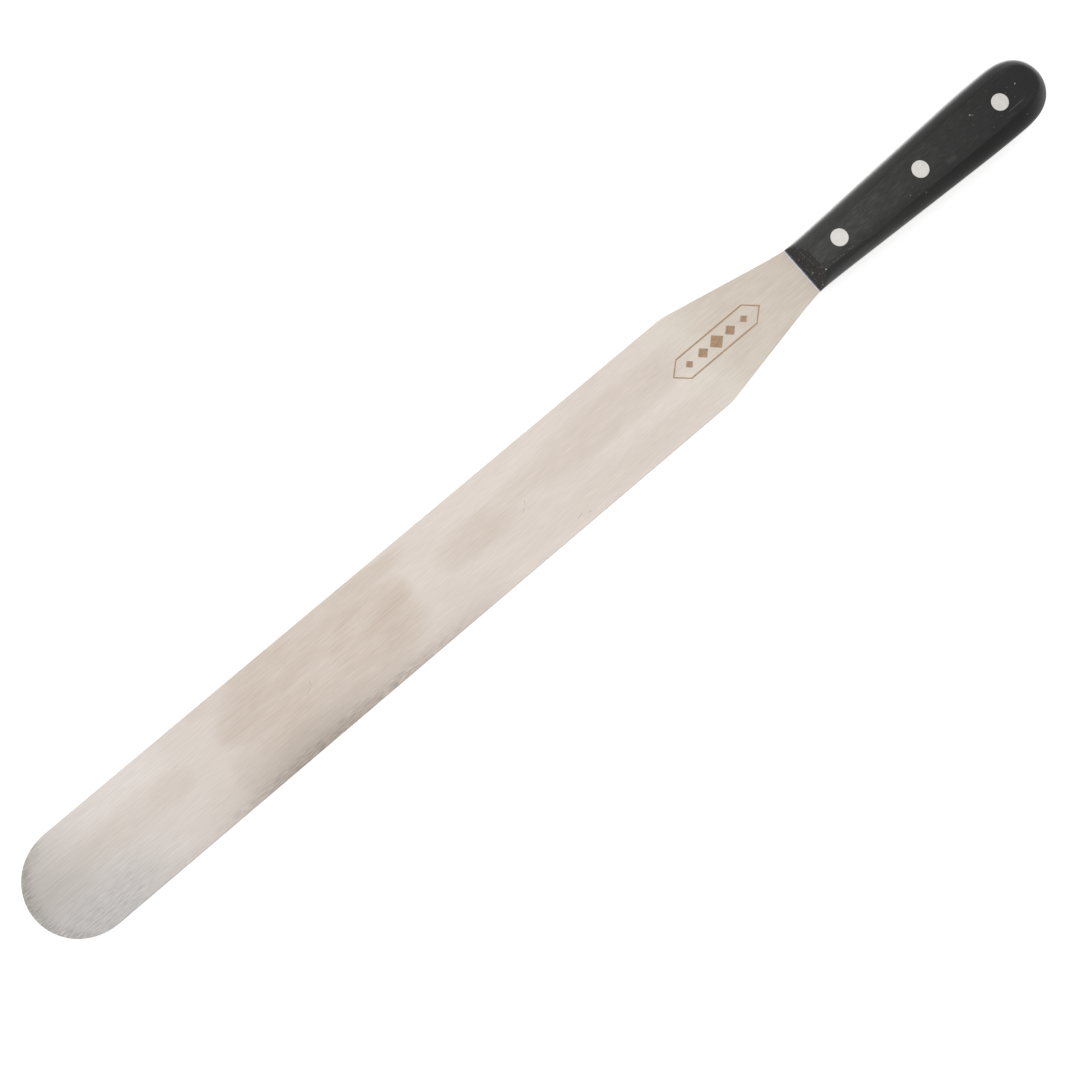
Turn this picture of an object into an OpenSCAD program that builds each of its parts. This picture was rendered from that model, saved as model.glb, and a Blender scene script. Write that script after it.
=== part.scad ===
// Straight icing spatula: a long flexible steel blade whose full tang is
// sandwiched between two handle scales held by three two-piece rivets.
// +X points at the blade's tip and +Z up. The origin is under the middle of the
// tool, on the plane that the handle rests on.

/* [Blade] */
// Length of the blade in front of the handle
blade_l = 332.1; // [200:0.1:400]
// Width of the blade between its parallel edges
blade_w = 37.3; // [30:0.1:44]
// Thickness of the steel at the tang and the neck
stock_t = 1.2; // [1:0.1:1.6]
// Thickness that the blade is ground down to at its tip
tip_t = 0.7; // [0.5:0.05:1]
// Length of the neck, from the handle to the shoulders
neck_l = 48.6; // [40:0.1:60]
// Angle between each side of the neck and the centre line
neck_angle = 11.2; // [9:0.1:13]
// Length of the curve that eases the neck into the handle
throat_l = 10.7; // [6:0.1:16]
// Radius that rounds each shoulder of the blade
shoulder_r = 20; // [10:5:80]

/* [Handle] */
// Length of the handle
handle_l = 112.6; // [106:0.1:130]
// Thickness of the handle over both scales
handle_t = 16; // [15:0.1:18]
// Width of the handle at its front end
front_w = 18.7; // [18.5:0.1:20]
// Width of the handle at its widest, and of its round butt
butt_w = 25; // [24:0.1:28]
// Angle that each side of the handle opens at, towards the butt
side_angle = 2.18; // [2:0.01:3]
// Radius of the rounding along the sides and round the butt
side_r = 9.7; // [9.5:0.1:10.5]
// How far the front of each scale slopes back over its height
bevel_run = 3.7; // [1:0.1:6]

/* [Rivets] */
// Distance from the handle's front end to the first rivet
rivet_inset = 15.3; // [12:0.1:20]
// Distance between neighbouring rivets
rivet_pitch = 38.1; // [34:0.1:40]
// Diameter of each rivet's heads
head_d = 6.35; // [5:0.05:8]
// Thickness of each rivet head
head_h = 1.6; // [1:0.1:2.5]
// Diameter of the hollow barrel
barrel_d = 4; // [3.6:0.1:4.4]
// Diameter of the pin that is driven into the barrel
pin_d = 2.4; // [2:0.1:2.8]
// Radial gap between a rivet and the scale around it
fit_gap = 0.05; // [0.03:0.01:0.1]
// Radial gap between a barrel and its hole in the tang
tang_gap = 0.2; // [0.1:0.05:0.4]
// Radial gap between a pin and the barrel that it is driven into
pin_gap = 0.02; // [0.01:0.01:0.05]

/* [Hidden] */
$fn = 96;

steel = [0.83, 0.80, 0.77];
plastic = [0.16, 0.16, 0.17];
rivet_metal = [0.84, 0.82, 0.79];

// Places along X
overall_l = blade_l + handle_l;
butt_x = -overall_l / 2;
front_x = butt_x + handle_l;
tip_x = overall_l / 2;
butt_centre_x = butt_x + butt_w / 2;
tip_centre_x = tip_x - blade_w / 2;
shoulder_x = front_x + neck_l;
throat_x = front_x + throat_l;
rivet_x = [for (i = [0:2]) front_x - rivet_inset - i * rivet_pitch];

// Heights, from the plane that the handle rests on
mid_z = handle_t / 2;

// The throat's arc leaves the neck's straight side at throat_l and reaches the
// handle at the width of the handle's front end.
throat_half_w = blade_w / 2 - (neck_l - throat_l) * tan(neck_angle);
throat_chord_angle = atan((throat_half_w - front_w / 2) / throat_l);
throat_end_angle = 2 * throat_chord_angle - neck_angle;
throat_r = throat_l / (sin(neck_angle) - sin(throat_end_angle));
throat_steps = 6;
shoulder_steps = 4;

// Heights inside a closed rivet: the barrel stops short of the lower head, and
// the pin's tapered nose stops short of the end of the barrel's bore.
barrel_bottom_z = head_h + 0.4;
bore_top_z = handle_t - 2 * head_h;
nose_h = 0.6;
nose_z = bore_top_z - 2 * nose_h;

// Lengths that only have to be longer than what they cut
over = 1;
reach = 2 * handle_l;

// Points of an arc from angle a to angle b
function arc(centre, r, a, b, steps) = [
    for (i = [0:steps])
        let (t = a + (b - a) * i / steps)
            centre + r * [cos(t), sin(t)]
];

// The neck's side at +Y, from the handle's front end to the shoulder
function neck_side() = concat(
    arc(
        [throat_x, throat_half_w] + throat_r * [-sin(neck_angle), cos(neck_angle)],
        throat_r,
        throat_end_angle - 90,
        neck_angle - 90,
        throat_steps
    ),
    arc(
        [shoulder_x + shoulder_r * tan(neck_angle / 2), blade_w / 2 - shoulder_r],
        shoulder_r,
        90 + neck_angle,
        90,
        shoulder_steps
    )
);

function flipped(points) = [
    for (i = [len(points) - 1:-1:0])
        [points[i].x, -points[i].y]
];

// Outline of the blade as far as its round tip. It runs a little way into the
// handle's outline.
module blade_outline() {
    side = concat(
        [[front_x - over, front_w / 2]],
        neck_side(),
        [[tip_centre_x, blade_w / 2]]
    );
    polygon(concat(side, flipped(side)));
}

module tip_outline() {
    translate([tip_centre_x, 0])
        circle(d = blade_w);
}

// Outline of the handle, which the full tang follows
module handle_outline() {
    spread = handle_l * tan(side_angle);
    intersection() {
        polygon([
            [front_x, -front_w / 2],
            [front_x, front_w / 2],
            [butt_x, front_w / 2 + spread],
            [butt_x, -front_w / 2 - spread]
        ]);
        union() {
            translate([butt_centre_x, -butt_w / 2])
                square([front_x - butt_centre_x, butt_w]);
            translate([butt_centre_x, 0])
                circle(d = butt_w);
        }
    }
}

// Side view of the steel: even stock up to the throat, then ground thinner
// towards the tip
module steel_profile() {
    polygon([
        [butt_x - over, -stock_t / 2],
        [throat_x, -stock_t / 2],
        [tip_x, -tip_t / 2],
        [tip_x, tip_t / 2],
        [throat_x, stock_t / 2],
        [butt_x - over, stock_t / 2]
    ]);
}

// Places its children, drawn in side view with Z up the page, across the tool
module across(width) {
    translate([0, width / 2, 0])
        rotate([90, 0, 0])
            linear_extrude(width)
                children();
}

// Half of the handle's cross-section: a slab as far as the centre of the side's
// rounding, which ends in that rounding at outer from the origin
module half_section(outer, depth) {
    slab_h = 2 * side_r - over;
    centre = outer - side_r;
    intersection() {
        union() {
            translate([-depth, -slab_h / 2])
                square([depth + centre, slab_h]);
            translate([centre, 0])
                circle(r = side_r);
        }
        translate([-depth, -side_r])
            square([depth + outer, 2 * side_r]);
    }
}

// Everything inboard of the handle's sloping side at +Y
module inside_of_side() {
    translate([front_x, front_w / 2, 0])
        rotate([0, 0, 180 - side_angle])
            translate([-reach / 2, 0, 0])
                rotate([90, 0, 90])
                    linear_extrude(2 * reach)
                        mirror([1, 0])
                            half_section(0, butt_w);
}

// The handle's widest part and its round butt
module round_ended_bar() {
    translate([butt_centre_x, 0, 0]) {
        rotate([90, 0, 90])
            linear_extrude(reach)
                intersection() {
                    half_section(butt_w / 2, butt_w);
                    mirror([1, 0])
                        half_section(butt_w / 2, butt_w);
                }
        rotate([0, 0, 90])
            rotate_extrude(angle = 180)
                half_section(butt_w / 2, 0);
    }
}

// One scale over the tang, with the handle's middle plane at z = 0
module scale_blank() {
    intersection() {
        round_ended_bar();
        inside_of_side();
        mirror([0, 1, 0])
            inside_of_side();
        across(2 * butt_w)
            polygon([
                [butt_x - over, stock_t / 2],
                [front_x, stock_t / 2],
                [front_x - bevel_run, handle_t / 2],
                [butt_x - over, handle_t / 2]
            ]);
    }
}

module at_rivets() {
    for (x = rivet_x)
        translate([x, 0, 0])
            children();
}

// A scale with its bores and the counterbores that sink the rivet heads
module drilled_scale() {
    difference() {
        scale_blank();
        at_rivets() {
            cylinder(h = handle_t, d = barrel_d + 2 * fit_gap);
            translate([0, 0, handle_t / 2 - head_h])
                cylinder(h = head_h + over, d = head_d + 2 * fit_gap);
        }
    }
}

// Extrudes its children to a plate that is thicker than the steel
module plate() {
    translate([0, 0, -stock_t])
        linear_extrude(2 * stock_t)
            children();
}

module blade() {
    color(steel)
        translate([0, 0, mid_z])
            difference() {
                intersection() {
                    union() {
                        plate() blade_outline();
                        plate() tip_outline();
                        plate() handle_outline();
                    }
                    across(2 * blade_w)
                        steel_profile();
                }
                at_rivets()
                    cylinder(h = 2 * stock_t, d = barrel_d + 2 * tang_gap, center = true);
            }
}

module upper_scale() {
    color(plastic)
        translate([0, 0, mid_z])
            drilled_scale();
}

module lower_scale() {
    color(plastic)
        translate([0, 0, mid_z])
            mirror([0, 0, 1])
                drilled_scale();
}

// The upper half of a rivet: a flush head on a hollow barrel, open below
module rivet_socket(x) {
    color(rivet_metal)
        translate([x, 0, 0])
            difference() {
                union() {
                    translate([0, 0, handle_t - head_h])
                        cylinder(h = head_h, d = head_d);
                    translate([0, 0, barrel_bottom_z])
                        cylinder(h = handle_t - head_h - barrel_bottom_z, d = barrel_d);
                }
                cylinder(h = bore_top_z, d = pin_d + 2 * pin_gap);
            }
}

// The lower half of a rivet: a flush head on a solid pin with a tapered nose
module rivet_pin(x) {
    color(rivet_metal)
        translate([x, 0, 0]) {
            cylinder(h = head_h, d = head_d);
            cylinder(h = nose_z, d = pin_d);
            translate([0, 0, nose_z])
                cylinder(h = nose_h, d1 = pin_d, d2 = pin_d - nose_h);
        }
}

blade();
upper_scale();
lower_scale();
rivet_socket(rivet_x[0]);  // front_rivet_socket
rivet_socket(rivet_x[1]);  // middle_rivet_socket
rivet_socket(rivet_x[2]);  // rear_rivet_socket
rivet_pin(rivet_x[0]);  // front_rivet_pin
rivet_pin(rivet_x[1]);  // middle_rivet_pin
rivet_pin(rivet_x[2]);  // rear_rivet_pin
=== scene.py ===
"""Straight icing spatula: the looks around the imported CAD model.

The CAD blade, scales and rivets are each replaced by a finer mesh of the same piece:
the steel with eased edges and a laser mark, the scales with the handle's hand-ground
outline and sections, and the rivets with rounded rims. Shapes are worked out in
millimetres, in the row's frame, and become metres when a mesh is made. The materials'
patterns are placed in the same millimetres, and their noise is scaled per metre.
"""

import math

import bmesh
import bpy
from mathutils import Matrix, Vector
from mathutils.geometry import delaunay_2d_cdt


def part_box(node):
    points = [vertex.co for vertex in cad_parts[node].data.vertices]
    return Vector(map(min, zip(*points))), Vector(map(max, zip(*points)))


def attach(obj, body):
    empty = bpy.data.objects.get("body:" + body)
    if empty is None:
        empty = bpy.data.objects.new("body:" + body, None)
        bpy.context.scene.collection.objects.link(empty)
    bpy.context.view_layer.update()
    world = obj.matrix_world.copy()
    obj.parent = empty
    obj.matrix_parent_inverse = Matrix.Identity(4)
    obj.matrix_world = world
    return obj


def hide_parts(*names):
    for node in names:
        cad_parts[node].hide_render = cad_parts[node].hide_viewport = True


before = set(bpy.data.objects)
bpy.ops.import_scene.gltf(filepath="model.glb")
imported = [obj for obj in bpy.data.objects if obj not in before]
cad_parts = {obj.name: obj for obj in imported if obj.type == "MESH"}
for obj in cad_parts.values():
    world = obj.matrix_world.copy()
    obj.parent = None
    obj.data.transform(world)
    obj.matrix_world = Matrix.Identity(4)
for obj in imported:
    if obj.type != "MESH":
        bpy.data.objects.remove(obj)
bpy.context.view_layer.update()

MM = 0.001
BODY = "root"


# ---- Places that the CAD model gives, in millimetres ----------------------------------

def box_mm(node):
    low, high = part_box(node)
    return low / MM, high / MM


scale_low, scale_high = box_mm("upper_scale")
blade_low, blade_high = box_mm("blade")
handle_bottom_z = box_mm("lower_scale")[0].z
handle_top_z = scale_high.z
butt_x = scale_low.x
front_x = scale_high.x
tip_x = blade_high.x
blade_half_w = blade_high.y
mid_z = (blade_low.z + blade_high.z) / 2
tang_half_t = blade_high.z - mid_z
handle_half_t = handle_top_z - mid_z

RIVETS = ("front", "middle", "rear")
rivet_boxes = [box_mm(name + "_rivet_socket") for name in RIVETS]
rivet_xs = [(low.x + high.x) / 2 for low, high in rivet_boxes]
head_r = (rivet_boxes[0][1].x - rivet_boxes[0][0].x) / 2

# ---- Blade, in millimetres -------------------------------------------------------------

NECK_L = 48.6
NECK_ANGLE = math.radians(11.2)
NECK_START_HALF_W = 9.35
THROAT_L = 10.7
SHOULDER_R = 22
TIP_L = 19.5
TIP_POWER = 2.1
TIP_HALF_T = 0.35
EDGE_EASING = 0.1
TANG_EASING = 0.02

# Half the length of the crease across the throat, where the steel starts to get thinner
FOLD_HALF_L = 9

# An eased edge, from the face outwards: shares of the easing, inwards and down
EASED_EDGE = ((1.0, 0.0), (0.3, 0.3), (0.0, 1.0))

# The laser mark: a pointed frame round a row of lozenges
MARK_X = -70.5
MARK_Y = -0.4
MARK_HALF_L = 20
MARK_HALF_W = 4.4
MARK_POINT_L = 5
MARK_LINE = 0.55
MARK_POINT_STRETCH = 1.3
LOZENGE_HALF_WIDTHS = (1.5, 2.1, 2.8, 2.1, 1.5)
LOZENGE_STRETCH = 1.1
LOZENGE_PITCH = 6.2

# ---- Handle outline and section, in millimetres ----------------------------------------

# The outline: a rounded butt, a taper towards the front, and a small flare at the front
BUTT_HALF_W = 12.6
BUTT_END_L = 20
BUTT_END_POWER = 3.3
TAPER = 0.0407
TAPER_START = 27
TAPER_BLEND = 10
FLARE = 0.33
FLARE_L = 4
BEVEL_RUN = 3.7
BEVEL_EASING = 0.2

# How far the flat faces' edges lie inside the outline. At +Y that grows towards the butt,
# and the flat bulges near the front. At -Y it grows towards the front.
SIDE_INSET = 3.45
BUTT_EXTRA_INSET = 2.5
BUTT_EXTRA_L = 45
BULGE = 0.9
BULGE_FROM_BUTT = 86.5
BULGE_L = 8.5
FAR_SIDE_INSET = 4.4
FRONT_EXTRA_INSET = 2.7
FRONT_EXTRA_L = 16
BUTT_INSET = 4.4

# The section of the sides: an ellipse, with a small rounding where it meets the flat
SECTION_H = 9.7
CREASE_H = 0.35
CREASE_SPREAD = 0.12

# ---- Rivets, in millimetres --------------------------------------------------------------

HEAD_H = 1.6
BARREL_R = 2.0
BORE_R = 1.22
PIN_R = 1.2
PIN_NOSE_TAPER = 0.3
PIN_NOSE_H = 0.6
HEAD_GAP = 0.05
BARREL_GAP = 0.05
TANG_GAP = 0.2
RIM_EASING = 0.06

# A head's rounded rim, from the face outwards: shares of the easing, inwards and down
HEAD_RIM = ((3.0, 0.1), (1.0, 0.4), (0.3, 0.8), (0.0, 1.6))

# ---- How finely the curves are cut -------------------------------------------------------

CIRCLE_STEPS = 64
TANG_END_STEPS = 32
TANG_SIDE_STEPS = 40
NECK_ARC_STEPS = 8
TIP_STEPS = 40
SCALE_END_STEPS = 28
SCALE_SIDE_STEPS = 44
SECTION_STEPS = 14
CREASE_STEPS = 5
SLOPE_STEP = 0.01
SMOOTH_ANGLE = math.radians(35)

# The triangulation keeps what is inside its loops, and joins points nearer than this
CDT_INSIDE_LOOPS = 1
CDT_TOLERANCE = 1e-6


# ---- Mesh helpers ------------------------------------------------------------------------

def circle(centre_x, radius):
    """Points round a rivet's axis, anticlockwise from above"""
    turn = 2 * math.pi / CIRCLE_STEPS
    return [
        (centre_x + radius * math.cos(turn * i), radius * math.sin(turn * i))
        for i in range(CIRCLE_STEPS)
    ]


def ring(bm, points, height):
    """New vertices at 2-D points, all at one height"""
    return [bm.verts.new((x, y, height)) for x, y in points]


def bridge(bm, first, second, material, closed=True):
    """Smooth quads between two rows of as many vertices"""
    count = len(first)
    for i in range(count if closed else count - 1):
        j = (i + 1) % count
        face = bm.faces.new((first[i], first[j], second[j], second[i]))
        face.material_index = material
        face.smooth = True


def cap(bm, outer, holes, material, height=None, folds=(), marks=(), mark_material=0):
    """Fills the region inside one loop and outside the holes with flat faces. The folds are
    extra lines that the faces follow, and the marks are loops of 2-D points whose faces get
    their own material, by the even-odd rule. New points get their height from their x."""
    known = list(outer)
    loops = [list(range(len(outer)))]
    for hole in holes:
        loops.append(list(range(len(known), len(known) + len(hole))))
        known += hole
    flat = [Vector((v.co.x, v.co.y)) for v in known]
    for mark in marks:
        loops.append(list(range(len(flat), len(flat) + len(mark))))
        flat += [Vector(p) for p in mark]
    lines = []
    for line in folds:
        lines.append((len(flat), len(flat) + 1))
        flat += [Vector(p) for p in line]
    made = delaunay_2d_cdt(flat, lines, loops, CDT_INSIDE_LOOPS, CDT_TOLERANCE)
    points, triangles, origins, covers = made[0], made[2], made[3], made[5]
    verts = []
    for point, origin in zip(points, origins):
        old = [i for i in origin if i < len(known)]
        if old:
            verts.append(known[old[0]])
        else:
            verts.append(bm.verts.new((point.x, point.y, height(point.x))))
    first_mark = 1 + len(holes)
    for triangle, cover in zip(triangles, covers):
        if 0 not in cover or any(0 < c < first_mark for c in cover):
            continue
        marked = sum(c >= first_mark for c in cover) % 2
        face = bm.faces.new([verts[i] for i in triangle])
        face.material_index = mark_material if marked else material
        face.smooth = False


def finish_piece(bm, name, materials, slot, *nodes):
    """Turns a mesh in millimetres into a piece that stands for CAD nodes"""
    bmesh.ops.recalc_face_normals(bm, faces=bm.faces)
    bmesh.ops.scale(bm, vec=(MM, MM, MM), verts=bm.verts)
    mesh = bpy.data.meshes.new(name)
    bm.to_mesh(mesh)
    bm.free()

    # Marking the sharp edges makes every face smooth, so the flat faces are set again
    smooth = [face.use_smooth for face in mesh.polygons]
    mesh.set_sharp_from_angle(angle=SMOOTH_ANGLE)
    mesh.polygons.foreach_set("use_smooth", smooth)
    for material in materials:
        mesh.materials.append(material)
    piece = bpy.data.objects.new(name, mesh)
    bpy.context.scene.collection.objects.link(piece)
    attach(piece, BODY)
    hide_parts(*nodes)


# ---- Node helpers ------------------------------------------------------------------------

# The range that most of a noise's values are in
NOISE_LOW = 0.3
NOISE_HIGH = 0.7

# A smudge's shape: x and y, as shares of its half size, to this power, add up to this sum
# where it has faded out
SMUDGE_POWER = 3.0
SMUDGE_END = 1.9


def rgb(red, green, blue):
    return (red, green, blue, 1.0)


class Graph:
    """A node tree under construction, with short calls for its nodes"""

    def __init__(self, tree):
        self.tree = tree

    def add(self, kind, **settings):
        node = self.tree.nodes.new(kind)
        for key, value in settings.items():
            setattr(node, key, value)
        return node

    def feed(self, socket, value):
        """Links an output to a socket, or sets the socket's own value"""
        if isinstance(value, bpy.types.NodeSocket):
            self.tree.links.new(value, socket)
        else:
            socket.default_value = value

    def maths(self, operation, a, b=0.0):
        node = self.add("ShaderNodeMath", operation=operation)
        self.feed(node.inputs[0], a)
        self.feed(node.inputs[1], b)
        return node.outputs[0]

    def plus(self, a, b):
        return self.maths("ADD", a, b)

    def minus(self, a, b):
        return self.maths("SUBTRACT", a, b)

    def times(self, a, b):
        return self.maths("MULTIPLY", a, b)

    def larger(self, a, b):
        return self.maths("MAXIMUM", a, b)

    def axes(self, vector):
        node = self.add("ShaderNodeSeparateXYZ")
        self.feed(node.inputs[0], vector)
        return node.outputs

    def span(self, value, low, high, to_low=0.0, to_high=1.0, smooth=True):
        """A value's range mapped to another range, and held at its ends"""
        node = self.add("ShaderNodeMapRange")
        node.interpolation_type = "SMOOTHSTEP" if smooth else "LINEAR"
        for socket, number in zip(node.inputs, (value, low, high, to_low, to_high)):
            self.feed(socket, number)
        return node.outputs["Result"]


class Material(Graph):
    """A material whose pattern follows the object's own coordinates, with x, y and z in
    millimetres"""

    def __init__(self, name, **settings):
        self.material = bpy.data.materials.new(name)
        self.material.use_nodes = True
        super().__init__(self.material.node_tree)
        self.shader = self.tree.nodes["Principled BSDF"]
        self.place = self.add("ShaderNodeTexCoord").outputs["Object"]
        self.x, self.y, self.z = self.axes(self.scaled_place((1 / MM,) * 3))
        for socket, value in settings.items():
            self.shader.inputs[socket.replace("_", " ")].default_value = value

    def scaled_place(self, per_metre):
        node = self.add("ShaderNodeMapping")
        self.feed(node.inputs["Vector"], self.place)
        node.inputs["Scale"].default_value = per_metre
        return node.outputs[0]

    def noise(self, per_metre, detail=2.0, roughness=0.5, distortion=0.0):
        """Noise from 0 to 1, with its own number of features per metre along each axis"""
        node = self.add("ShaderNodeTexNoise")
        self.feed(node.inputs["Vector"], self.scaled_place(per_metre))
        node.inputs["Scale"].default_value = 1.0
        node.inputs["Detail"].default_value = detail
        node.inputs["Roughness"].default_value = roughness
        node.inputs["Distortion"].default_value = distortion
        return node.outputs["Fac"]

    def vary(self, noise, to_low=0.0, to_high=1.0, smooth=True):
        """A noise's usual range mapped to another range"""
        return self.span(noise, NOISE_LOW, NOISE_HIGH, to_low, to_high, smooth)

    def dots(self, per_metre, radius, share, dimensions="2D"):
        """1 inside round dots, in millimetres, which only a share of a grid's cells hold"""
        cells = self.add("ShaderNodeTexVoronoi", voronoi_dimensions=dimensions)
        self.feed(cells.inputs["Vector"], self.scaled_place((per_metre,) * 3))
        cells.inputs["Scale"].default_value = 1.0
        chance = self.add("ShaderNodeSeparateColor")
        self.feed(chance.inputs[0], cells.outputs["Color"])
        reach = radius * MM * per_metre
        near = self.span(cells.outputs["Distance"], reach, reach / 2)
        return self.times(near, self.maths("LESS_THAN", chance.outputs[0], share))

    def smudge(self, centre, half_size, strength):
        """The strength in the middle of a soft oval, in millimetres, and 0 well outside it"""
        powers = []
        for value, middle, half in zip((self.x, self.y), centre, half_size):
            share = self.maths("DIVIDE", self.minus(value, middle), half)
            powers.append(self.maths("POWER", self.maths("ABSOLUTE", share), SMUDGE_POWER))
        return self.span(self.plus(*powers), SMUDGE_END, 0.0, 0.0, strength)

    def scratch(self, centre, length, width, turn):
        """1 along a straight scratch, in millimetres. The turn is from X, in degrees."""
        cos = math.cos(math.radians(turn))
        sin = math.sin(math.radians(turn))
        away_x = self.minus(self.x, centre[0])
        away_y = self.minus(self.y, centre[1])
        along = self.plus(self.times(away_x, cos), self.times(away_y, sin))
        across = self.minus(self.times(away_y, cos), self.times(away_x, sin))
        near_along = self.span(self.maths("ABSOLUTE", along), length / 2, length / 4)
        near_across = self.span(self.maths("ABSOLUTE", across), width / 2, width / 4)
        return self.times(near_along, near_across)

    def mix(self, share, a, b, blend="MIX"):
        node = self.add("ShaderNodeMix", data_type="RGBA", blend_type=blend)
        colours = [i for i in node.inputs if i.type == "RGBA"]
        self.feed(node.inputs["Factor"], share)
        self.feed(colours[0], a)
        self.feed(colours[1], b)
        return [o for o in node.outputs if o.type == "RGBA"][0]

    def shaded(self, colour, value):
        """A colour times a grey value"""
        node = self.add("ShaderNodeCombineColor")
        for socket in node.inputs[:3]:
            self.feed(socket, value)
        return self.mix(1.0, colour, node.outputs[0], blend="MULTIPLY")

    def bump(self, height, depth, below=None):
        """A normal that follows a height, with its depth in millimetres"""
        node = self.add("ShaderNodeBump")
        node.inputs["Strength"].default_value = 1.0
        node.inputs["Distance"].default_value = depth * MM
        self.feed(node.inputs["Height"], height)
        if below is not None:
            self.feed(node.inputs["Normal"], below)
        return node.outputs[0]

    def finish(self, colour, roughness, normal):
        self.feed(self.shader.inputs["Base Color"], colour)
        self.feed(self.shader.inputs["Roughness"], roughness)
        self.feed(self.shader.inputs["Normal"], normal)
        return self.material


# ---- Steel -------------------------------------------------------------------------------

# The steel's colours, linear. Clouds run between the first two. The shade along the +Y edge,
# the greyer tip, the pale tip side and the pale line in front of the scales are painted
# shade, sheen and highlight.
STEEL_DARK = rgb(0.715, 0.640, 0.580)
STEEL_PALE = rgb(0.755, 0.681, 0.621)
STEEL_NECK = rgb(0.736, 0.684, 0.605)
STEEL_TIP_HALF = rgb(0.752, 0.690, 0.644)
STEEL_PALE_SIDE = rgb(0.80, 0.738, 0.69)
STEEL_SMUDGE = rgb(0.574, 0.473, 0.392)
STEEL_PAINTED_EDGE_SHADE = rgb(0.455, 0.40, 0.35)
STEEL_TIP_SHADE = rgb(0.585, 0.552, 0.512)
STEEL_TIP_SHEEN = rgb(0.73, 0.703, 0.688)
STEEL_SANDED_EDGE = rgb(0.37, 0.315, 0.265)
STEEL_SANDED_TIP = rgb(0.36, 0.34, 0.32)
STEEL_SCRATCH = rgb(0.42, 0.36, 0.3)
STEEL_HIGHLIGHT_LINE = rgb(0.86, 0.89, 0.95)
MARK_DARK = rgb(0.45, 0.305, 0.20)
MARK_PALE = rgb(0.53, 0.375, 0.26)

# How much of the painted edge shade, the sanded and scratched tones and the painted highlight
# line shows
PAINTED_SHADE_SHARE = 0.8
SANDED_SHARE = 0.28
SCRATCH_SHARE = 0.6
HIGHLIGHT_LINE_SHARE = 0.6

# Warm smudges on the blade: centre, half length and half width, and strength
SMUDGES = (
    ((180, -5), (18, 6), 0.13),
    ((164, -4), (8, 5), 0.28),
    ((142, -17), (5, 2), 0.2),
    ((137, 9), (9, 8), 0.3),
    ((127, -5), (15, 7), 0.58),
    ((104, -2), (34, 21), 0.56),
    ((84, 0), (19, 13), 0.64),
    ((77, -5), (13, 6), 0.7),
    ((86, -15), (26, 3), 0.55),
    ((35, -3), (16, 6), 0.34),
    ((11, -6), (14, 4), 0.3),
    ((-26, -5), (36, 7), 0.33),
    ((-20, 12), (50, 4), 0.15),
    ((-95, 0), (30, 24), 0.5),
)

# Scratches on the blade: centre, length, width and turn
BLADE_SCRATCHES = (
    ((110.5, 1.1), 3.4, 0.3, 28),
    ((108.4, -0.6), 2.4, 0.3, 69),
    ((17.8, 1.1), 2.4, 0.3, 30),
    ((15.8, -0.6), 2.0, 0.3, 60),
    ((4.4, 14.7), 3.0, 0.35, 4),
    ((1.0, 15.8), 1.4, 0.35, 0),
)

# The thin painted highlight line in front of the scales: centre, length, width and turn
PAINTED_HIGHLIGHT_LINE = ((front_x + 0.15, 0), 40, 0.45, 90)


def sanded_places(m):
    """1 where sanding marks show: round the rim of the tip, on the tip's side at +Y, and
    along the +Y edge's tip half"""
    # How near a point is to the outline: 0 on the centre line, and 1 at the edge
    past_tip = m.larger(m.minus(m.x, tip_x - blade_half_w), 0.0)
    squares = m.plus(m.maths("POWER", past_tip, 2.0), m.maths("POWER", m.y, 2.0))
    from_middle = m.maths("DIVIDE", m.maths("SQRT", squares), blade_half_w)
    rim = m.times(m.span(from_middle, 0.68, 1.0), m.span(m.x, 200, 219))
    edge_run = m.times(m.span(m.x, 35, 95), m.span(m.x, 165, 125, 0.3))
    edge = m.times(m.span(m.y, 13, 18.5), edge_run)
    side = m.times(m.span(m.y, 0, 12), m.span(m.x, 172, 195, 0.0, 0.42))
    return m.larger(m.larger(rim, edge), side)


def smudged_places(m):
    """The warm smudges' strength, broken up along the brush lines and into blotches"""
    streaks = m.noise((50, 2000, 0), 4.0, 0.65)
    blotches = m.noise((45, 160, 0), 3.0, 0.6, 0.3)
    warm = 0.0
    for smudge in SMUDGES:
        warm = m.larger(warm, m.smudge(*smudge))
    warm = m.times(warm, m.span(streaks, 0.35, 0.65, 0.7, 1.1))
    return m.times(warm, m.span(blotches, 0.35, 0.65, 0.7, 1.15))


def painted_edge_shade_places(m):
    """1 along the +Y edge, where a soft shade is painted that ends before the tip"""
    start = m.larger(m.span(m.x, 30, 50, 0.0, 0.3), m.span(m.x, 75, 120))
    run = m.times(start, m.span(m.x, 170, 120))
    return m.times(m.span(m.y, 2, 19.5), run)


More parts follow.
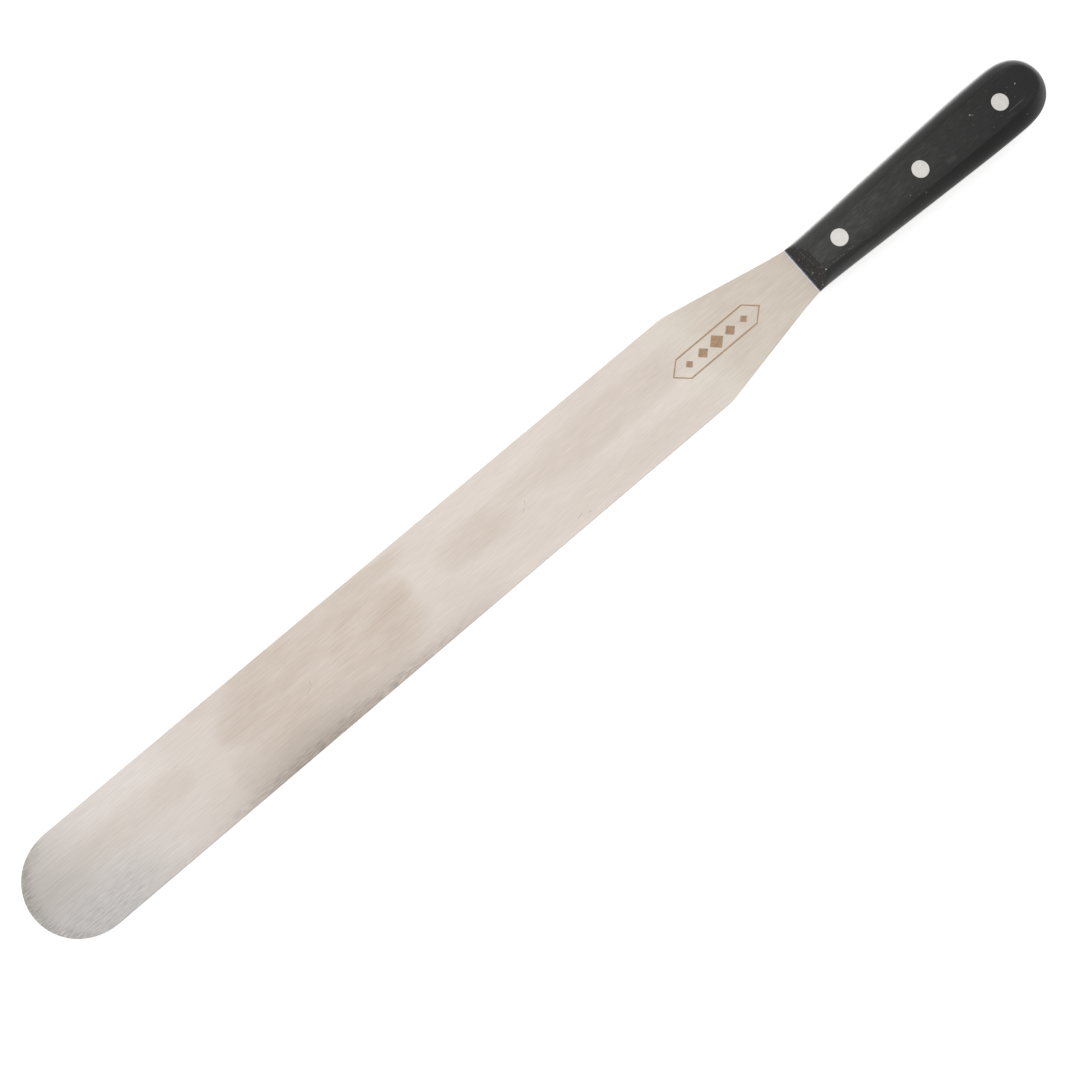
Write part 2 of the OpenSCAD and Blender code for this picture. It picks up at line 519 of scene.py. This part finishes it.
def steel_tone(m, towards_tip, sanded):
    """The steel's colour without its brush lines"""
    clouds = m.noise((16, 60, 0), 3.0, 0.6, 0.5)
    colour = m.mix(m.vary(clouds), STEEL_DARK, STEEL_PALE)
    colour = m.mix(m.span(m.x, -40, -75), colour, STEEL_NECK)
    colour = m.mix(m.span(m.x, 120, 175, 0.0, 0.8), colour, STEEL_TIP_HALF)
    pale_side = m.times(m.span(m.y, -4, -12), m.span(m.x, 155, 168))
    colour = m.mix(pale_side, colour, STEEL_PALE_SIDE)
    colour = m.mix(smudged_places(m), colour, STEEL_SMUDGE)
    # Painted shade along the middle of the +Y edge
    shaded = m.times(painted_edge_shade_places(m), PAINTED_SHADE_SHARE)
    colour = m.mix(shaded, colour, STEEL_PAINTED_EDGE_SHADE)
    # Painted shade: the steel gets greyer and darker towards the tip, sooner at +Y
    colour = m.mix(m.span(towards_tip, 178, 222), colour, STEEL_TIP_SHADE)
    # Painted sheen: a paler, cooler tone on the tip's +Y side
    tip_sheen = m.times(m.span(m.y, -3, 10), m.span(m.x, 165, 200, 0.0, 0.7))
    colour = m.mix(tip_sheen, colour, STEEL_TIP_SHEEN)
    sanded_tone = m.mix(m.span(m.x, 140, 180), STEEL_SANDED_EDGE, STEEL_SANDED_TIP)
    colour = m.mix(m.times(sanded, SANDED_SHARE), colour, sanded_tone)
    for scratch in BLADE_SCRATCHES:
        colour = m.mix(m.times(m.scratch(*scratch), SCRATCH_SHARE), colour, STEEL_SCRATCH)
    # Painted highlight: a pale bluish line on the steel in front of the scales
    return m.mix(m.times(m.scratch(*PAINTED_HIGHLIGHT_LINE), HIGHLIGHT_LINE_SHARE), colour, STEEL_HIGHLIGHT_LINE)


def brushed_steel():
    """Brushed along the blade, with soft warm smudges, and sanding marks at the tip and along
    the tip half of one edge. Its greyer tip and the shade along that edge are painted shade,
    and a pale patch on the tip's +Y side is a painted sheen."""
    m = Material("brushed_steel", Metallic=1.0)
    lines = m.noise((60, 2400, 0), 3.0, 0.7)
    fine_lines = m.noise((160, 1900, 0), 2.0, 0.6)
    marks = m.noise((290, 3300, 0), 2.0, 0.6)
    sanded = sanded_places(m)
    towards_tip = m.plus(m.x, m.times(m.y, 0.5))
    colour = steel_tone(m, towards_tip, sanded)

    # The brush lines get stronger towards the tip
    swing = m.span(towards_tip, 150, 215, 0.05, 0.12)
    shade = m.plus(m.times(m.vary(lines, -1.0, 1.0, smooth=False), swing), 1.0)
    shade = m.times(shade, m.vary(fine_lines, 0.96, 1.04, smooth=False))
    mark_shade = m.span(marks, 0.32, 0.68, 0.6, 1.35, smooth=False)
    shade = m.times(shade, m.span(sanded, 0.0, 1.0, 1.0, mark_shade, smooth=False))
    roughness = m.plus(m.vary(lines, 0.30, 0.37), m.span(sanded, 0.0, 1.0, 0.0, 0.08))
    normal = m.bump(fine_lines, 0.003, m.bump(lines, 0.006))
    return m.finish(m.shaded(colour, shade), roughness, normal)


def etched_steel():
    """The laser mark: a matt brown tint, darker in places, on the same brushed steel"""
    m = Material("etched_steel", Metallic=1.0)
    lines = m.noise((150, 2600, 0), 2.0, 0.7)
    mottle = m.noise((900, 900, 0), 2.0)
    colour = m.mix(m.vary(mottle), MARK_DARK, MARK_PALE)
    return m.finish(colour, m.vary(lines, 0.45, 0.55), m.bump(mottle, 0.004))


# ---- Plastic and rivet metal -------------------------------------------------------------

# Their colours, linear. The side's pale streak and the bluish line at the foot of the front
# faces are painted highlights. The grey is wear on the flats, and a painted reflection on
# the +Y sides near the front.
PLASTIC_BLACK = rgb(0.0075, 0.0075, 0.0072)
PLASTIC_GREY = rgb(0.048, 0.048, 0.046)
PLASTIC_SCUFF = rgb(0.04, 0.04, 0.038)
PLASTIC_HIGHLIGHT = rgb(0.14, 0.14, 0.14)
PLASTIC_SPECK = rgb(0.10, 0.097, 0.085)
PLASTIC_CHIP = rgb(0.4, 0.4, 0.39)
PLASTIC_NICK = rgb(0.6, 0.6, 0.59)
SAWN_DARK = rgb(0.008, 0.008, 0.010)
SAWN_PALE = rgb(0.062, 0.060, 0.057)
SAWN_GRAIN = rgb(0.17, 0.16, 0.14)
SAWN_BRIGHT_GRAIN = rgb(0.5, 0.47, 0.42)
SAWN_HIGHLIGHT = rgb(0.16, 0.20, 0.29)
ALLOY_DARK = rgb(0.79, 0.76, 0.72)
ALLOY_PALE = rgb(0.85, 0.82, 0.78)

# Nicks and scratches on the handle: centre, length, width, turn and strength
HANDLE_NICKS = (
    ((-189.7, -3.3), 0.7, 0.55, 0, 0.7),
    ((-190.4, -2.7), 1.3, 0.3, -41, 0.25),
    ((-209.9, -1.6), 0.6, 0.55, 0, 0.7),
    ((-113.9, 5.4), 0.7, 0.6, 0, 0.9),
    ((-154.1, 4.7), 0.5, 0.5, 0, 0.35),
    ((-204.9, 4.5), 9.5, 0.35, 1, 0.12),
    ((-201.0, 6.1), 5.0, 0.3, -1, 0.05),
    ((-174.0, 4.5), 5.0, 2.2, 0, 0.035),
    ((-206.5, 9.2), 0.6, 0.7, 0, 0.12),
    ((-159.3, 7.4), 0.5, 0.5, 0, 0.25),
)

# Where the flat's +Y edge is chipped, and a painted highlight along the side: as smudges
CHIPPED_EDGE = ((-122, 5.5), (8, 0.9), 0.4)
SIDE_HIGHLIGHT = ((-121, 8.3), (13, 0.6), 0.15)


def plastic_colour(m):
    """Black, and greyer towards the front, but less so towards +Y"""
    mottle = m.noise((160, 260, 200), 3.0, 0.6)
    grey_share = m.span(m.x, -205, -110, smooth=False)
    grey_share = m.times(grey_share, m.span(m.y, 1, 7.5, 1.0, 0.3))
    grey_share = m.larger(grey_share, m.span(m.y, -6, -8, 0.0, 0.22))
    return m.shaded(m.mix(grey_share, PLASTIC_BLACK, PLASTIC_GREY), m.vary(mottle, 0.85, 1.15))


def nicked(m, colour):
    """A plastic's colour with the nicks and scratches on it"""
    for centre, length, width, turn, strength in HANDLE_NICKS:
        share = m.times(m.scratch(centre, length, width, turn), strength)
        colour = m.mix(share, colour, PLASTIC_NICK)
    return colour


def sanded_plastic():
    """The scales' flat faces, with fine lines along the handle and a few pale specks"""
    m = Material("sanded_plastic", Specular_IOR_Level=0.4)
    lines = m.noise((240, 3000, 0), 3.0, 0.75)
    fine_lines = m.noise((400, 7000, 0), 1.0)
    colour = m.shaded(plastic_colour(m), m.span(lines, 0.4, 0.78, 0.85, 2.6))
    colour = m.mix(m.dots(600, 0.25, 0.06), colour, PLASTIC_SPECK)
    colour = nicked(m, colour)
    chips = m.times(m.dots(1500, 0.2, 0.35), m.smudge(*CHIPPED_EDGE))
    colour = m.mix(chips, colour, PLASTIC_CHIP)
    normal = m.bump(fine_lines, 0.003, m.bump(lines, 0.006))
    return m.finish(colour, m.vary(lines, 0.36, 0.5), normal)


def buffed_plastic():
    """The scales' rounded sides, smoother than the flats, and greyer at +Y near the front as a
    painted reflection, with a painted highlight streak there
    """
    m = Material("buffed_plastic", Specular_IOR_Level=0.42)
    haze = m.noise((60, 400, 400), 3.0)
    scuffs = m.noise((90, 1800, 1800), 2.0)
    colour = m.mix(m.span(scuffs, 0.6, 0.8, 0.0, 0.3), plastic_colour(m), PLASTIC_SCUFF)
    # Painted reflection: greyer at +Y near the front
    grey_share = m.times(m.span(m.x, -190, -115, 0.0, 0.35, smooth=False), m.span(m.y, 0, 4))
    colour = m.mix(grey_share, colour, PLASTIC_GREY)
    # Painted highlight: a pale streak along the +Y side near the front
    colour = m.mix(m.smudge(*SIDE_HIGHLIGHT), colour, PLASTIC_HIGHLIGHT)
    return m.finish(nicked(m, colour), m.vary(haze, 0.25, 0.32), m.bump(scuffs, 0.003))


def sawn_plastic():
    """The scales' sloping front faces: grainy, with pale grains, and a patchy pale bluish line
    where they meet the steel, which is a painted highlight"""
    m = Material("sawn_plastic")
    grain = m.noise((1700, 1700, 1700), 3.0, 0.7)
    pits = m.noise((1100, 1100, 1100), 2.0)
    colour = m.mix(m.span(grain, 0.38, 0.72), SAWN_DARK, SAWN_PALE)
    colour = m.mix(m.dots(1300, 0.28, 0.4, "3D"), colour, SAWN_GRAIN)
    colour = m.mix(m.dots(900, 0.26, 0.09, "3D"), colour, SAWN_BRIGHT_GRAIN)
    # Painted highlight: a patchy pale bluish band at the foot of the front face
    from_middle = m.maths("ABSOLUTE", m.minus(m.z, mid_z))
    highlight_band = m.span(from_middle, tang_half_t + 0.8, tang_half_t + 0.4, 0.0, 0.8)
    patchy = m.span(m.noise((0, 700, 0), 2.0), 0.3, 0.6)
    colour = m.mix(m.times(highlight_band, patchy), colour, SAWN_HIGHLIGHT)
    normal = m.bump(grain, 0.03, m.bump(pits, 0.06))
    return m.finish(colour, m.vary(grain, 0.45, 0.65), normal)


def rivet_alloy():
    """Rivet heads, sanded flush with the scales along the handle"""
    m = Material("rivet_alloy", Metallic=1.0)
    lines = m.noise((200, 2600, 0), 2.0, 0.7)
    tone = m.noise((500, 500, 500), 2.0)
    colour = m.mix(m.vary(tone), ALLOY_DARK, ALLOY_PALE)
    colour = m.shaded(colour, m.vary(lines, 0.93, 1.04, smooth=False))
    return m.finish(colour, m.vary(lines, 0.32, 0.42), m.bump(lines, 0.006))


# ---- Outlines ----------------------------------------------------------------------------

def rounded_end(distance, length, power):
    """How much of its full width a rounded end has, at a distance from the end"""
    if distance >= length:
        return 1.0
    return math.sqrt(max(0.0, 1 - (1 - max(0.0, distance) / length) ** power))


def end_distances(length, power, count):
    """Distances from a rounded end, spaced evenly round its outline"""
    turn = math.pi / 2 / count
    return [length * (1 - math.cos(turn * i) ** (2 / power)) for i in range(count + 1)]


def handle_half_w(x):
    """Half the handle's width. It tapers to the front, where it flares a little."""
    past = x - butt_x - TAPER_START
    taper = TAPER * (past + math.hypot(past, TAPER_BLEND)) / 2
    flare = FLARE * math.exp((x - front_x) / FLARE_L)
    return (BUTT_HALF_W - taper + flare) * rounded_end(x - butt_x, BUTT_END_L, BUTT_END_POWER)


def arc(centre, radius, start, end, steps):
    turn = (end - start) / steps
    return [
        (
            centre[0] + radius * math.cos(start + turn * i),
            centre[1] + radius * math.sin(start + turn * i),
        )
        for i in range(steps + 1)
    ]


def inset_loop(points, insets):
    """An anticlockwise loop of 2-D points, moved inwards along its normals"""
    moved = []
    count = len(points)
    for i, (x, y) in enumerate(points):
        here = Vector((x, y))
        before = (here - Vector(points[i - 1])).normalized()
        after = (Vector(points[(i + 1) % count]) - here).normalized()
        along = (before + after).normalized()
        inward = Vector((-along.y, along.x))
        reach = insets[i] / max(0.5, before.dot(along))
        moved.append(tuple(here + inward * reach))
    return moved


# ---- Blade -------------------------------------------------------------------------------

# Places in the blade's list of materials
BRUSHED, ETCHED = range(2)


def neck_side():
    """The neck's side at +Y: an arc out of the handle, a straight flare and the shoulder"""
    end_half_w = blade_half_w - (NECK_L - THROAT_L) * math.tan(NECK_ANGLE)
    chord = math.atan((end_half_w - NECK_START_HALF_W) / THROAT_L)
    start_angle = 2 * chord - NECK_ANGLE
    radius = THROAT_L / (math.sin(NECK_ANGLE) - math.sin(start_angle))
    throat_centre = (
        front_x + THROAT_L - radius * math.sin(NECK_ANGLE),
        end_half_w + radius * math.cos(NECK_ANGLE),
    )
    shoulder_centre = (
        front_x + NECK_L + SHOULDER_R * math.tan(NECK_ANGLE / 2),
        blade_half_w - SHOULDER_R,
    )
    down = -math.pi / 2
    up = math.pi / 2
    throat = arc(throat_centre, radius, down + start_angle, down + NECK_ANGLE, NECK_ARC_STEPS)
    shoulder = arc(shoulder_centre, SHOULDER_R, up + NECK_ANGLE, up, NECK_ARC_STEPS)
    return throat + shoulder


def steel_outline():
    """Points round the whole steel, with how far its edges are eased at each"""
    tang = [butt_x + d for d in end_distances(BUTT_END_L, BUTT_END_POWER, TANG_END_STEPS)]
    start = tang[-1]
    run = front_x - start
    tang += [start + run * i / TANG_SIDE_STEPS for i in range(1, TANG_SIDE_STEPS + 1)]
    half = [(x, handle_half_w(x), TANG_EASING) for x in tang]
    half += [(x, y, EDGE_EASING) for x, y in neck_side()]
    for distance in reversed(end_distances(TIP_L, TIP_POWER, TIP_STEPS)):
        width = blade_half_w * rounded_end(distance, TIP_L, TIP_POWER)
        half.append((tip_x - distance, width, EDGE_EASING))
    other = [(x, -y, easing) for x, y, easing in half[1:-1]]
    return half[::-1] + other


def steel_half_t(x):
    """Half the steel's thickness: even up to the throat, then ground down to the tip"""
    start = front_x + THROAT_L
    share = max(0.0, (x - start) / (tip_x - start))
    return tang_half_t + (TIP_HALF_T - tang_half_t) * share


def lozenge(x, y, half_l, half_w):
    return [(x - half_l, y), (x, y - half_w), (x + half_l, y), (x, y + half_w)]


def pointed_frame(grow):
    """The outline of the mark's frame, moved outwards"""
    length = MARK_HALF_L + grow * MARK_POINT_STRETCH
    width = MARK_HALF_W + grow
    flat = MARK_HALF_L - MARK_POINT_L
    lower = [(-length, 0), (-flat, -width), (flat, -width)]
    upper = [(length, 0), (flat, width), (-flat, width)]
    return [(MARK_X + x, MARK_Y + y) for x, y in lower + upper]


def mark_loops():
    """The laser mark: both outlines of its frame, and the lozenges"""
    middle = (len(LOZENGE_HALF_WIDTHS) - 1) / 2
    lozenges = [
        lozenge(MARK_X + (i - middle) * LOZENGE_PITCH, MARK_Y, half_w * LOZENGE_STRETCH, half_w)
        for i, half_w in enumerate(LOZENGE_HALF_WIDTHS)
    ]
    return [pointed_frame(0), pointed_frame(-MARK_LINE)] + lozenges


def make_blade():
    bm = bmesh.new()
    outline = steel_outline()
    points = [(x, y) for x, y, easing in outline]
    easings = [easing for x, y, easing in outline]
    rows = []
    for side, levels in ((1, EASED_EDGE), (-1, EASED_EDGE[::-1])):
        for inwards, down in levels:
            loop = inset_loop(points, [inwards * easing for easing in easings])
            rows.append([
                bm.verts.new((x, y, mid_z + side * (steel_half_t(x) - down * easing)))
                for (x, y), easing in zip(loop, easings)
            ])
    for a, b in zip(rows, rows[1:]):
        bridge(bm, a, b, BRUSHED)
    upper_holes, lower_holes = [
        [ring(bm, circle(x, BARREL_R + TANG_GAP), mid_z + side * tang_half_t) for x in rivet_xs]
        for side in (1, -1)
    ]
    for upper, lower in zip(upper_holes, lower_holes):
        bridge(bm, upper, lower, BRUSHED)

    def upper_z(x):
        return mid_z + steel_half_t(x)

    def lower_z(x):
        return mid_z - steel_half_t(x)

    fold_x = front_x + THROAT_L
    folds = [((fold_x, -FOLD_HALF_L), (fold_x, FOLD_HALF_L))]
    cap(bm, rows[0], upper_holes, BRUSHED, upper_z, folds, mark_loops(), ETCHED)
    cap(bm, rows[-1], lower_holes, BRUSHED, lower_z, folds)
    materials = [brushed_steel(), etched_steel()]
    finish_piece(bm, "blade_with_tang", materials, "blade_steel", "blade")


# ---- Scales ------------------------------------------------------------------------------

# Places in a scale's list of materials
FLAT, SIDES, FRONT = range(3)


def flat_inset(x, side):
    """How far a flat face's edge lies inside the outline, on each side of the handle"""
    if side > 0:
        inset = SIDE_INSET + BUTT_EXTRA_INSET * math.exp((butt_x - x) / BUTT_EXTRA_L)
        inset -= BULGE * math.exp(-((x - butt_x - BULGE_FROM_BUTT) / BULGE_L) ** 2)
    else:
        inset = FAR_SIDE_INSET + FRONT_EXTRA_INSET * math.exp((x - front_x) / FRONT_EXTRA_L)
    from_end = rounded_end(min(x - butt_x, BUTT_END_L), BUTT_END_L, BUTT_END_POWER)
    return BUTT_INSET + (inset - BUTT_INSET) * from_end ** 2


def side_fall(height):
    """How far the side's ellipse has come in at a height over the middle plane, as a share
    of its half width"""
    return 1 - math.sqrt(1 - (height / SECTION_H) ** 2)


def section_levels():
    """Heights over the middle plane from the tang to the flat face, each with its share of
    the flat's inset: an elliptical side, and a small rounding where it meets the flat"""
    top = handle_half_t - CREASE_H
    levels = []
    for i in range(SECTION_STEPS + 1):
        height = tang_half_t + (top - tang_half_t) * i / SECTION_STEPS
        levels.append((side_fall(height) / side_fall(handle_half_t), height))
    start = levels[-1]
    corner = (1.0, handle_half_t)
    end = (1.0 + CREASE_SPREAD, handle_half_t)
    for i in range(1, CREASE_STEPS + 1):
        t = i / CREASE_STEPS
        weights = ((1 - t) ** 2, 2 * t * (1 - t), t ** 2)
        levels.append(tuple(
            sum(w * p[k] for w, p in zip(weights, (start, corner, end))) for k in (0, 1)
        ))
    return levels


def bevel_x(height):
    """Where a scale's sloping front face is, at a height over the middle plane"""
    return front_x - BEVEL_RUN * (height - tang_half_t) / (handle_half_t - tang_half_t)


def scale_stations(height):
    """Outline points at +Y and their inward directions, from the butt to the front"""
    stations = [(butt_x, handle_half_w(butt_x), Vector((1, 0)))]
    for distance in end_distances(BUTT_END_L, BUTT_END_POWER, SCALE_END_STEPS)[1:]:
        x = butt_x + distance
        before = max(butt_x, x - SLOPE_STEP)
        after = x + SLOPE_STEP
        slope = (handle_half_w(after) - handle_half_w(before)) / (after - before)
        stations.append((x, handle_half_w(x), Vector((slope, -1)).normalized()))
    start = butt_x + BUTT_END_L
    end = bevel_x(height) - BEVEL_EASING
    for i in range(1, SCALE_SIDE_STEPS + 1):
        x = start + (end - start) * i / SCALE_SIDE_STEPS
        stations.append((x, handle_half_w(x), Vector((0, -1))))
    return stations


def scale_row(share, height):
    """Points round a scale from the front at +Y to the front at -Y, at one height, moved
    inwards by a share of the flat's inset"""
    stations = scale_stations(height)
    row = []
    for side, half in ((1, stations[::-1]), (-1, stations[1:])):
        for x, width, inward in half:
            inset = share * flat_inset(x, side)
            row.append((x + inward.x * inset, side * (width + inward.y * inset)))
    return row


def make_scale(name, node, upward, plastics):
    """One scale. upward is 1 for the upper scale and -1 for the lower one."""
    bm = bmesh.new()

    def vert(x, y, height):
        return bm.verts.new((x, y, mid_z + upward * height))

    rows = [
        [vert(x, y, height) for x, y in scale_row(share, height)]
        for share, height in section_levels()
    ]
    for a, b in zip(rows, rows[1:]):
        bridge(bm, a, b, SIDES, closed=False)

    # The sloping front face, with its edges eased all round. The rows end at the lowest
    # level of that easing, so only the other two are left.
    edge = [row[0] for row in rows] + [row[-1] for row in reversed(rows)]
    section = [(v.co.y, upward * (v.co.z - mid_z)) for v in edge]
    for inwards, down in EASED_EDGE[1::-1]:
        inner = inset_loop(section, [inwards * BEVEL_EASING] * len(section))
        loop = [vert(bevel_x(h) - down * BEVEL_EASING, y, h) for y, h in inner]
        bridge(bm, edge, loop, FRONT)
        edge = loop
    face = bm.faces.new(edge)
    face.material_index = FRONT
    face.smooth = False

    # The counterbores and bores, from the flat face to the tang
    counterbore_r = head_r + HEAD_GAP
    steps = (
        (counterbore_r + RIM_EASING, handle_half_t),
        (counterbore_r, handle_half_t - RIM_EASING),
        (counterbore_r, handle_half_t - HEAD_H),
        (BARREL_R + BARREL_GAP, handle_half_t - HEAD_H),
        (BARREL_R + BARREL_GAP, tang_half_t),
    )
    openings = []
    for x in rivet_xs:
        rings = [ring(bm, circle(x, radius), mid_z + upward * height) for radius, height in steps]
        for a, b in zip(rings, rings[1:]):
            bridge(bm, a, b, SIDES)
        openings.append(rings)
    cap(bm, rows[-1], [rings[0] for rings in openings], FLAT)
    cap(bm, rows[0], [rings[-1] for rings in openings], SIDES)
    finish_piece(bm, name, plastics, "scale_plastic", node)


# ---- Rivets ------------------------------------------------------------------------------

def lathe(profile, centre_x):
    """A closed turned solid. The profile runs from the axis to the axis."""
    bm = bmesh.new()
    first = bm.verts.new((centre_x, 0, profile[0][1]))
    last = bm.verts.new((centre_x, 0, profile[-1][1]))
    rings = [ring(bm, circle(centre_x, radius), height) for radius, height in profile[1:-1]]
    for a, b in zip(rings, rings[1:]):
        bridge(bm, a, b, 0)
    for pole, around in ((first, rings[0]), (last, rings[-1])):
        for i in range(CIRCLE_STEPS):
            bm.faces.new((pole, around[i], around[(i + 1) % CIRCLE_STEPS]))
    return bm


def head_profile(outer_z, inward):
    """A rivet head from its middle to its underside: nearly flat, with a rounded rim"""
    rim = [
        (head_r - inwards * RIM_EASING, outer_z + inward * down * RIM_EASING)
        for inwards, down in HEAD_RIM
    ]
    return [(0, outer_z)] + rim + [(head_r, outer_z + inward * HEAD_H)]


def make_rivet(place, centre_x, material):
    socket_low = box_mm(place + "_rivet_socket")[0].z
    pin_high = box_mm(place + "_rivet_pin")[1].z
    bore_top = pin_high + PIN_NOSE_H
    socket = head_profile(handle_top_z, -1) + [
        (BARREL_R, handle_top_z - HEAD_H),
        (BARREL_R, socket_low),
        (BORE_R, socket_low),
        (BORE_R, bore_top),
        (0, bore_top),
    ]
    pin = head_profile(handle_bottom_z, 1) + [
        (PIN_R, handle_bottom_z + HEAD_H),
        (PIN_R, pin_high - PIN_NOSE_H),
        (PIN_R - PIN_NOSE_TAPER, pin_high),
        (0, pin_high),
    ]
    for part, profile in (("socket", socket), ("pin", pin)):
        node = place + "_rivet_" + part
        finish_piece(lathe(profile, centre_x), place + "_" + part, [material], "rivet_metal", node)


# ---- The object --------------------------------------------------------------------------

scale_plastics = [sanded_plastic(), buffed_plastic(), sawn_plastic()]
alloy = rivet_alloy()

make_blade()
make_scale("upper_handle_scale", "upper_scale", 1, scale_plastics)
make_scale("lower_handle_scale", "lower_scale", -1, scale_plastics)
for rivet, rivet_x in zip(RIVETS, rivet_xs):
    make_rivet(rivet, rivet_x, alloy)


# ---- Floor, light and camera -------------------------------------------------------------

# The floor's size in metres, its colour, and a glow that keeps it pale round the tool
FLOOR_SIZE = 6
FLOOR_COLOUR = rgb(0.8, 0.8, 0.795)
FLOOR_GLOW = 0.62

# The camera's target and distance in millimetres, its angles and lens, and the nearest
# distance that it sees, in metres
CAMERA_TARGET = (20.05, 12.2, 8.0)
CAMERA_DISTANCE = 650
CAMERA_TILT_X = math.radians(8.8728)
CAMERA_TILT_Y = math.radians(3.1316)
CAMERA_ROLL = math.radians(40.3126)
CAMERA_LENS = 65.10
CAMERA_CLIP_START = 0.01


def make_floor():
    """A pale floor. The tool rests on the front edge of its lower scale and on its tip."""
    heel_x = front_x - BEVEL_RUN
    slope = math.atan2(mid_z - TIP_HALF_T, tip_x - heel_x)
    place = (heel_x * MM, 0, 0)
    bpy.ops.mesh.primitive_plane_add(size=FLOOR_SIZE, location=place, rotation=(0, -slope, 0))
    floor = bpy.context.object
    floor.name = "floor"
    floor.visible_glossy = False
    material = bpy.data.materials.new("pale_floor")
    material.use_nodes = True
    shader = material.node_tree.nodes["Principled BSDF"]
    shader.inputs["Base Color"].default_value = FLOOR_COLOUR
    shader.inputs["Roughness"].default_value = 0.9
    shader.inputs["Specular IOR Level"].default_value = 0.0
    shader.inputs["Emission Color"].default_value = rgb(1, 1, 1)
    shader.inputs["Emission Strength"].default_value = FLOOR_GLOW
    floor.data.materials.append(material)


def softbox(name, towards, distance, width, height, radiance):
    """A rectangular area light that faces the tool, with its sizes in metres"""
    light = bpy.data.lights.new(name, "AREA")
    light.shape = "RECTANGLE"
    light.size = width
    light.size_y = height
    light.energy = radiance * math.pi * width * height
    lamp = bpy.data.objects.new(name, light)
    direction = Vector(towards).normalized()
    lamp.location = direction * distance
    lamp.rotation_euler = direction.to_track_quat("Z", "Y").to_euler()
    bpy.context.scene.collection.objects.link(lamp)


def make_world():
    """White to the eye. What the tool reflects is grey sides that are darker towards +Y,
    bright ends, and a light below that is strong towards -Y and weak towards +Y."""
    world = bpy.data.worlds.new("studio")
    world.use_nodes = True
    bpy.context.scene.world = world
    graph = Graph(world.node_tree)
    direction = graph.axes(graph.add("ShaderNodeTexCoord").outputs["Generated"])
    side = graph.span(direction["Y"], -0.8, 0.8, 0.6, 0.35)
    below = graph.span(direction["Y"], -0.3, 0.2, 2.4, 0.45)
    along = graph.maths("ABSOLUTE", direction["X"])
    around = graph.span(along, 0.4, 0.8, side, 0.95)
    surround = graph.span(direction["Z"], -0.35, -0.75, around, below)
    eye = graph.add("ShaderNodeLightPath").outputs["Is Camera Ray"]
    background = world.node_tree.nodes["Background"]
    background.inputs["Color"].default_value = rgb(1, 1, 1)
    graph.feed(background.inputs["Strength"], graph.larger(surround, eye))


def make_camera():
    """Nearly overhead, a little towards the tip, with the handle up and to the right"""
    back = Vector((math.tan(CAMERA_TILT_X), math.tan(CAMERA_TILT_Y), 1)).normalized()
    along = (Vector((1, 0, 0)) - back * back.x).normalized()
    across = back.cross(along)
    right = across * math.sin(CAMERA_ROLL) - along * math.cos(CAMERA_ROLL)
    up = back.cross(right)
    data = bpy.data.cameras.new("camera")
    data.lens = CAMERA_LENS
    data.clip_start = CAMERA_CLIP_START
    camera = bpy.data.objects.new("camera", data)
    place = (Vector(CAMERA_TARGET) + back * CAMERA_DISTANCE) * MM
    turn = Matrix((right, up, back)).transposed().to_4x4()
    camera.matrix_world = Matrix.Translation(place) @ turn
    bpy.context.scene.collection.objects.link(camera)
    bpy.context.scene.camera = camera


make_floor()
softbox("overhead_softbox", (-0.1, -0.06, 1), distance=1.3, width=1.3, height=1.1, radiance=0.6)
make_world()
make_camera()
bpy.context.scene.view_settings.view_transform = "Standard"
